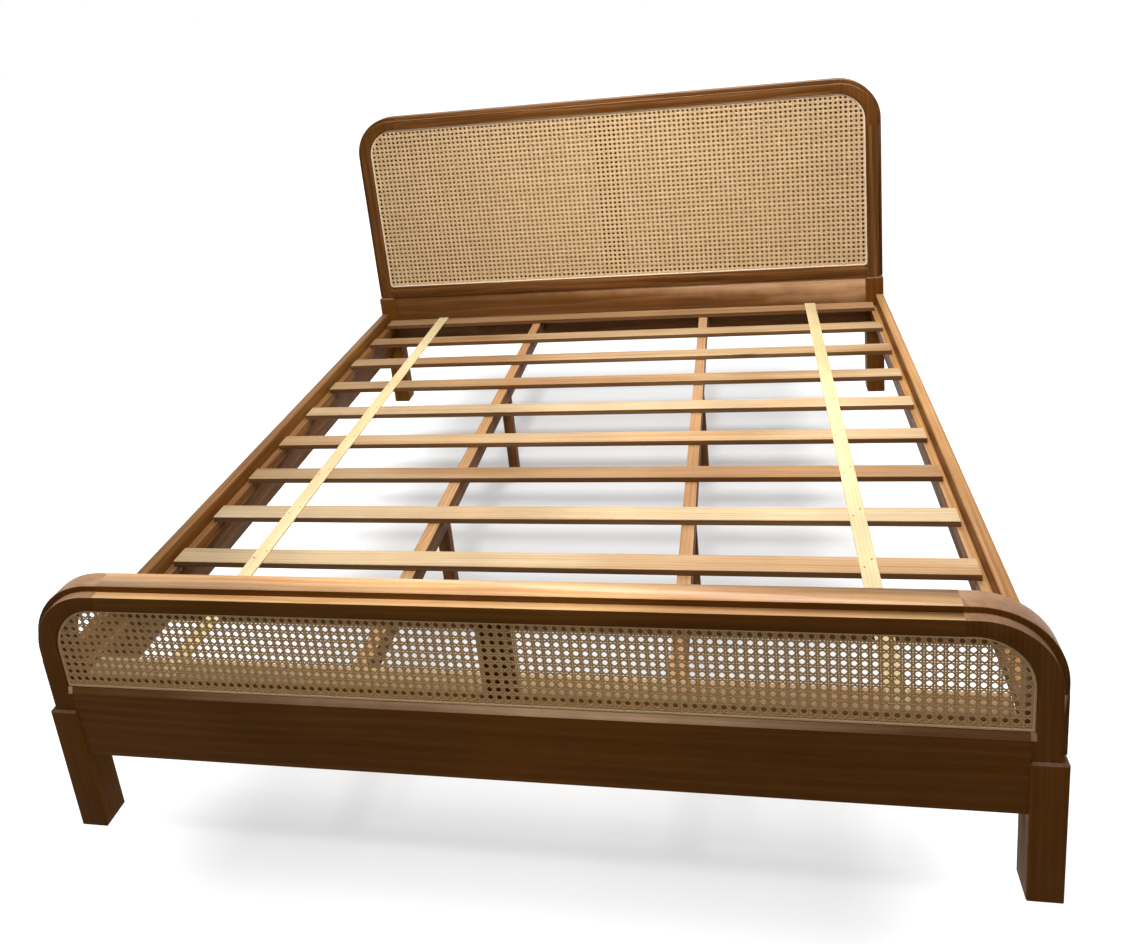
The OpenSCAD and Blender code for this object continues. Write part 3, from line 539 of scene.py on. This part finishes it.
def softened(node, body, slot, material, width, segments=3, tight=()):
    # a copy of the node's own solid with rounded edges
    mesh = nodes[node].data.copy()
    mesh.name = node + "_soft"
    bm = bmesh.new()
    bm.from_mesh(mesh)
    bmesh.ops.remove_doubles(bm, verts=bm.verts, dist=soften["merge"])
    bmesh.ops.dissolve_limit(bm, angle_limit=math.radians(soften["flat"]), verts=bm.verts,
                             edges=bm.edges)
    planes = meetingPlanes(node, tight)
    weight = bm.edges.layers.float.new("bevel_weight_edge")
    for edge in bm.edges:
        if len(edge.link_faces) != 2 or edge.calc_face_angle(0.0) < math.radians(soften["sharp"]):
            continue
        if any(all(abs(v.co[axis] - value) < soften["onPlane"] for v in edge.verts)
               for axis, value in planes):
            edge.smooth = False
        else:
            edge[weight] = 1.0
    for face in bm.faces:
        face.smooth = True
    bm.to_mesh(mesh)
    bm.free()
    piece = addObject(node + "_soft", mesh)
    mesh.materials.clear()
    mesh.materials.append(material)
    bevel = piece.modifiers.new("edges", "BEVEL")
    bevel.limit_method = "WEIGHT"
    bevel.width = width
    bevel.segments = segments
    bevel.harden_normals = True
    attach(piece, body)
    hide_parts(node)


members = {
    # node: (look, grain axis, edge softening in metres, neighbours it meets flush)
    "foot_top_rail": ("railWalnut", "x", 0.0040, ["foot_corner_left", "foot_corner_right"]),
    "head_top_rail": ("headWalnut", "x", 0.0040, ["head_corner_left", "head_corner_right"]),
    "foot_apron": ("walnut", "x", 0.0010, []),
    "head_sill": ("headWalnut", "x", 0.0010, []),
    "head_board": ("boardWalnut", "x", 0.0020, []),
    "foot_ledger": ("shadedLedgerTimber", "x", 0.0015, []),
    "foot_mullion": ("walnut", "z", 0.0010, []),
    "head_mullion": ("walnut", "z", 0.0010, []),
}
for end, stileLook, blockLook in (("foot", "walnut", "blockWalnut"),
                                  ("head", "headWalnut", "headBlock")):
    for side in ("left", "right"):
        members[f"{end}_corner_{side}"] = (blockLook, "z", 0.0040,
                                           [f"{end}_top_rail", f"{end}_stile_{side}"])
        members[f"{end}_stile_{side}"] = (stileLook, "z", 0.0034, [f"{end}_corner_{side}"])
        members[f"{end}_leg_{side}"] = ("legWalnut", "z", 0.0012, [])
# painted shade on the left rail and painted light on the right one, the same timber
for side, sideLook in (("left", "shadedSideWalnut"), ("right", "litSideWalnut")):
    members[f"side_rail_{side}"] = (sideLook, "y", 0.0022, [])
    members[f"side_ledger_{side}"] = (sideLook, "y", 0.0012, [])
    members[f"beam_{side}"] = ("beamTimber", "y", 0.0015, [])
    for end in ("foot", "head"):
        members[f"beam_leg_{side}_{end}"] = ("beamTimber", "z", 0.0015, [])

slotOf = {"walnut": "walnut_frame", "legWalnut": "walnut_frame", "headWalnut": "walnut_frame",
          "blockWalnut": "walnut_frame", "headBlock": "walnut_frame",
          "railWalnut": "walnut_rail", "litSideWalnut": "walnut_rail", "shadedSideWalnut": "walnut_rail",
          "boardWalnut": "walnut_rail", "shadedLedgerTimber": "slat_wood", "beamTimber": "slat_wood"}
# upper faces behind this y get no painted light and stay dark, as painted shade: the apron's under
# the cane, and all of the sill's
reachOf = {"foot_apron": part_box("foot_cane")[0].y, "head_sill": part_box("head_sill")[0].y}
for node, (look, axis, width, tight) in members.items():
    softened(node, "frame", slotOf[look], timber(look, axis, reachOf.get(node)), width, tight=tight)
thinEdges = {"lath": (0.0007, 2), "reed": (0.0022, 4)}  # edge softening in metres, segments
for side in ("left", "right"):
    softened(f"lath_{side}", "slat_deck", "lath_wood", timber("lathTimber", "y"), *thinEdges["lath"])
for end in ("foot", "head"):
    reed = caneMaterial(end + "Reed", reedLooks[end], 0)
    softened(f"{end}_reed", "frame", "reed", reed, *thinEdges["reed"])
print("frame members ready")


# woven cane, as separate strands

weave = {
    # metres
    "pitch": 0.01648, "pairGap": 0.0020, "width": 0.0031, "thick": 0.0005, "firstRow": 0.0135,
    "cornerRadius": 0.0907, "footLowRadius": 0.0, "headLowRadius": 0.0067,
    "intoReed": 0.003, "depth": 0.0007, "longestRun": 2.4,
    # how far strands rise at their crossings, in thicknesses
    "weaverLift": 2.0, "diagonalLifts": (1.1, -2.2),
    # a run's clear end and least length, in its own steps, and the tries to find its end
    "endRoom": 0.15, "shortest": 0.2, "halvings": 12}


def roomInside(x, z, window):
    # how far a point lies inside the window's outline, negative outside
    upper = z > window["z1"] - window["topR"]
    radius = window["topR"] if upper else window["lowR"]
    overX = abs(x) - (window["halfX"] - radius)
    overZ = z - (window["z1"] - radius) if upper else (window["z0"] + radius) - z
    if overX > 0 and overZ > 0:
        return radius - math.hypot(overX, overZ)
    return min(window["halfX"] - abs(x), window["z1"] - z, z - window["z0"])


def insidePart(start, step, count, window):
    # the stretch of a straight run that lies inside the window, as two distances along it
    def isInside(mark):
        return roomInside(start[0] + step[0] * mark, start[1] + step[1] * mark, window) > 0

    inside = [mark for mark in range(count + 1) if isInside(mark)]
    if not inside:
        return None
    ends = []
    for near, far in ((inside[0], inside[0] - 1), (inside[-1], inside[-1] + 1)):
        for _ in range(weave["halvings"]):
            mid = (near + far) / 2
            if isInside(mid):
                near = mid
            else:
                far = mid
        ends.append(near)
    return ends if ends[1] - ends[0] > weave["shortest"] else None


def strandRun(curve, start, step, lifts, window):
    # one strand: lifts go round in turn at its crossings; a single lift keeps it straight
    count = int(weave["longestRun"] / math.hypot(*step))
    span = insidePart(start, step, count, window)
    if span is None:
        return
    marks = list(span)
    if len(lifts) > 1:
        first = math.ceil(span[0] + weave["endRoom"])
        last = math.floor(span[1] - weave["endRoom"])
        marks[1:1] = range(first, last + 1)
    spline = curve.splines.new("POLY")
    spline.points.add(len(marks) - 1)
    for point, mark in zip(spline.points, marks):
        lift = lifts[mark % len(lifts)] if isinstance(mark, int) else lifts[0] * (len(lifts) == 1)
        point.co = (start[0] + step[0] * mark, start[1] + step[1] * mark, lift, 1)
        point.tilt = math.pi / 2


def strandSet(name, node, material, runs, window, depth):
    curve = bpy.data.curves.new(name, "CURVE")
    curve.dimensions = "3D"
    curve.twist_mode = "Z_UP"
    curve.bevel_depth = weave["thick"] / 2
    curve.extrude = (weave["width"] - weave["thick"]) / 2
    curve.bevel_resolution = 0
    curve.use_fill_caps = True
    for start, step, lifts in runs:
        strandRun(curve, start, step, lifts, window)
    maker = addObject(name + "_path", curve)
    mesh = bpy.data.meshes.new_from_object(maker)
    bpy.data.objects.remove(maker)
    mesh.transform(Matrix.Translation((0, depth, 0)) @ Matrix.Rotation(math.pi / 2, 4, "X"))
    mesh.name = name
    mesh.materials.clear()
    mesh.materials.append(material)
    piece = addObject(name, mesh)
    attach(piece, "frame")
    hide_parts(node)
    print(name, len(mesh.polygons), "faces")


def weavePanel(end):
    node = f"{end}_cane"
    lo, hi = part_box(node)
    grow = weave["intoReed"]
    lowRadius = weave[end + "LowRadius"]
    window = {"halfX": hi.x + grow, "z0": lo.z - grow, "z1": hi.z + grow,
              "topR": weave["cornerRadius"] + grow, "lowR": lowRadius + grow if lowRadius else 0.0}
    depth = lo.y + weave["depth"]
    p, gap, thick = weave["pitch"], weave["pairGap"], weave["thick"]
    row0 = lo.z + weave["firstRow"]
    columns = int(hi.x / p) + 1
    rows = int((hi.z - lo.z) / p) + 2
    uprights, weavers, rising, falling = [], [], [], []
    for k in range(-columns - 1, columns + 1):
        x = (k + 0.5) * p
        uprights.append(((x - gap, row0 - 2 * p), (0, p), [-thick]))
        uprights.append(((x + gap, row0 - 2 * p), (0, p), [thick]))
    left = -(columns + 2) * p
    for j in range(-1, rows):
        z = row0 + (j - 0.5) * p
        # a straight filler between the two layers of uprights, and a weaver round them
        uprights.append(((left, z + gap), (p, 0), [0.0]))
        weavers.append(((left, z - gap), (p / 2, 0), [0.0, weave["weaverLift"] * thick]))
    # the diagonals cross half way between the crossings of the pairs
    lifts = [lift * thick for lift in weave["diagonalLifts"]]
    for k in range(-columns - rows - 2, columns + 2):
        rising.append(((k * p, row0 - 0.5 * p), (p / 2, p / 2), lifts))
        falling.append(((-k * p, row0 - 0.5 * p), (-p / 2, p / 2), [-lift for lift in lifts]))
    for part, turn, runs in (("uprights", 90, uprights), ("weavers", 0, weavers),
                             ("rising", 45, rising), ("falling", -45, falling)):
        material = caneMaterial(f"{end}_cane_{part}", caneLooks[end], turn)
        strandSet(f"{end}_cane_{part}", node, material, runs, window, depth)


weavePanel("foot")
weavePanel("head")
print("cane ready")


# slats and fittings keep their own solids

# one look for each slat, from the head to the foot; the boards come from paler and darker timber
slatOrder = ["warmSlat", "warmSlat", "warmSlat", "warmSlat", "paleSlat", "slatTimber", "warmSlat",
             "paleSlat", "slatTimber", "slatTimber", "slatTimber"]


def paint(node, material):
    nodes[node].data.materials.clear()
    nodes[node].data.materials.append(material)


for number, look in enumerate(slatOrder, 1):
    paint(f"slat_{number:02d}", timber(look, "x"))
steel = steelMaterial()
for node in ("rail_hook_plates", "rail_keeper_plates", "plate_screws", "panel_screws",
             "ledger_screws", "beam_shoes", "beam_shoe_screws", "beam_leg_bolts", "lath_brads"):
    paint(node, steel)
for node, look in (("foot_dowels", "slatTimber"), ("head_dowels", "slatTimber"),
                   ("head_back_panel", "panelPly")):
    paint(node, timber(look, "x"))
print("slats and fittings ready")


# floor, light and camera

studio = {
    "floorSize": 30.0, "floorColour": 0.42, "floorUneven": 0.01, "floorPatches": 2.0,
    "floorRoughness": 0.8, "floorShine": 0.1,
    # the floor's own glow for the camera, weaker under the bed as painted shade and out to plain
    # white, and where
    "floorLift": 0.53, "wellLift": 0.31, "wellFrom": -1.0, "wellTo": 0.5,
    "whiteFrom": 0.0, "whiteTo": 0.37, "sideStart": 0.40,
    "worldLow": 0.12, "worldHigh": 0.31, "skyFrom": -0.05, "skyTo": 0.6,
    "lamps": {"key": {"power": 12.5, "place": (-0.12, -1.15, 2.4), "size": 1.0, "depth": 0.6,
                      "aim": (0.0, -0.8, 0.35), "spread": 115},
              "front": {"power": 30.0, "place": (0.3, -0.5, 3.4), "size": 0.7, "depth": 0.5,
                        "aim": (0.05, 1.06, 0.8), "spread": 95},
              "back": {"power": 31.0, "place": (0.6, 1.4, 2.3), "size": 1.6, "depth": 0.7,
                       "aim": (0.0, -0.8, 0.4), "spread": 180}}}


def seenDirectly(tree):
    # 1 where the camera sees this, directly or in a shiny or clear piece
    path = put(tree, "ShaderNodeLightPath").outputs
    mirrored = calc(tree, "MAXIMUM", path["Is Glossy Ray"], path["Is Transmission Ray"])
    return calc(tree, "MAXIMUM", path["Is Camera Ray"], mirrored)


def makeFloor():
    bm = bmesh.new()
    bmesh.ops.create_grid(bm, x_segments=1, y_segments=1, size=studio["floorSize"])
    mesh = bpy.data.meshes.new("floor")
    bm.to_mesh(mesh)
    bm.free()
    floor = addObject("floor", mesh)
    material, tree, shader = newMaterial("paleFloor")
    place = objectPlace(tree)
    faint = widened(tree, noise(tree, place, studio["floorPatches"], detail=4.0),
                    studio["floorColour"] - studio["floorUneven"],
                    studio["floorColour"] + studio["floorUneven"])
    tree.links.new(faint, shader.inputs["Base Color"])
    shader.inputs["Roughness"].default_value = studio["floorRoughness"]
    shader.inputs["Specular IOR Level"].default_value = studio["floorShine"]
    shader.inputs["Emission Color"].default_value = (1, 1, 1, 1)
    # away: metres outside the bed's outline, which starts further in at its sides
    split = parted(tree, place)
    squares = []
    for axis, edge in enumerate((cadBox[1][0] - studio["sideStart"], cadBox[1][1])):
        beside = calc(tree, "SUBTRACT", calc(tree, "ABSOLUTE", split[axis]), edge)
        squares.append(calc(tree, "POWER", calc(tree, "MAXIMUM", beside, 0.0), 2.0))
    away = calc(tree, "SQRT", calc(tree, "ADD", *squares))
    # the lamps reach further under the head end, so the floor lifts itself less there
    below = remap(tree, split[1], studio["wellFrom"], studio["wellTo"], studio["floorLift"],
                  studio["wellLift"], smooth=True)
    lift = remap(tree, away, studio["whiteFrom"], studio["whiteTo"], below, 1.0, smooth=True)
    glow = calc(tree, "MULTIPLY", seenDirectly(tree), lift)
    tree.links.new(glow, shader.inputs["Emission Strength"])
    mesh.materials.append(material)


def areaLight(name, values):
    light = bpy.data.lights.new(name, "AREA")
    light.energy = values["power"]
    light.shape = "RECTANGLE"
    light.size = values["size"]
    light.size_y = values["depth"]
    light.spread = math.radians(values["spread"])
    lamp = addObject(name, light)
    lamp.location = values["place"]
    aim = Vector(values["aim"]) - Vector(values["place"])
    lamp.rotation_euler = aim.to_track_quat("-Z", "Y").to_euler()


def makeWorld():
    world = bpy.data.worlds.new("studio")
    bpy.context.scene.world = world
    world.use_nodes = True
    tree = world.node_tree
    background = tree.nodes["Background"]
    # bright overhead, dim towards the floor, and plain white where the camera sees it
    height = parted(tree, put(tree, "ShaderNodeTexCoord").outputs["Generated"])[2]
    sky = remap(tree, height, studio["skyFrom"], studio["skyTo"], studio["worldLow"],
                studio["worldHigh"], smooth=True)
    background.inputs["Color"].default_value = (1, 1, 1, 1)
    tree.links.new(calc(tree, "MAXIMUM", sky, seenDirectly(tree)), background.inputs["Strength"])


makeFloor()
makeWorld()
for name, values in studio["lamps"].items():
    areaLight(name + "Light", values)

view = {"place": (0.46965, -2.51890, 1.59820),  # metres, in the bed's own frame
        "right": (0.97480, 0.19389, -0.11032), "up": (0.04960, 0.29373, 0.95460),
        "back": (0.21750, -0.93602, 0.27671),
        "lens": 32.04, "sensor": 36, "shiftX": 0.0371, "shiftY": -0.1846}
camera = bpy.data.cameras.new("camera")
camera.lens = view["lens"]
camera.sensor_width = view["sensor"]
camera.shift_x = view["shiftX"]
camera.shift_y = view["shiftY"]
cameraObject = addObject("camera", camera)
turned = Matrix((view["right"], view["up"], view["back"])).transposed()
cameraObject.matrix_world = Matrix.Translation(view["place"]) @ turned.to_4x4()
bpy.context.scene.camera = cameraObject
bpy.context.scene.view_settings.view_transform = "Standard"
print("studio ready")
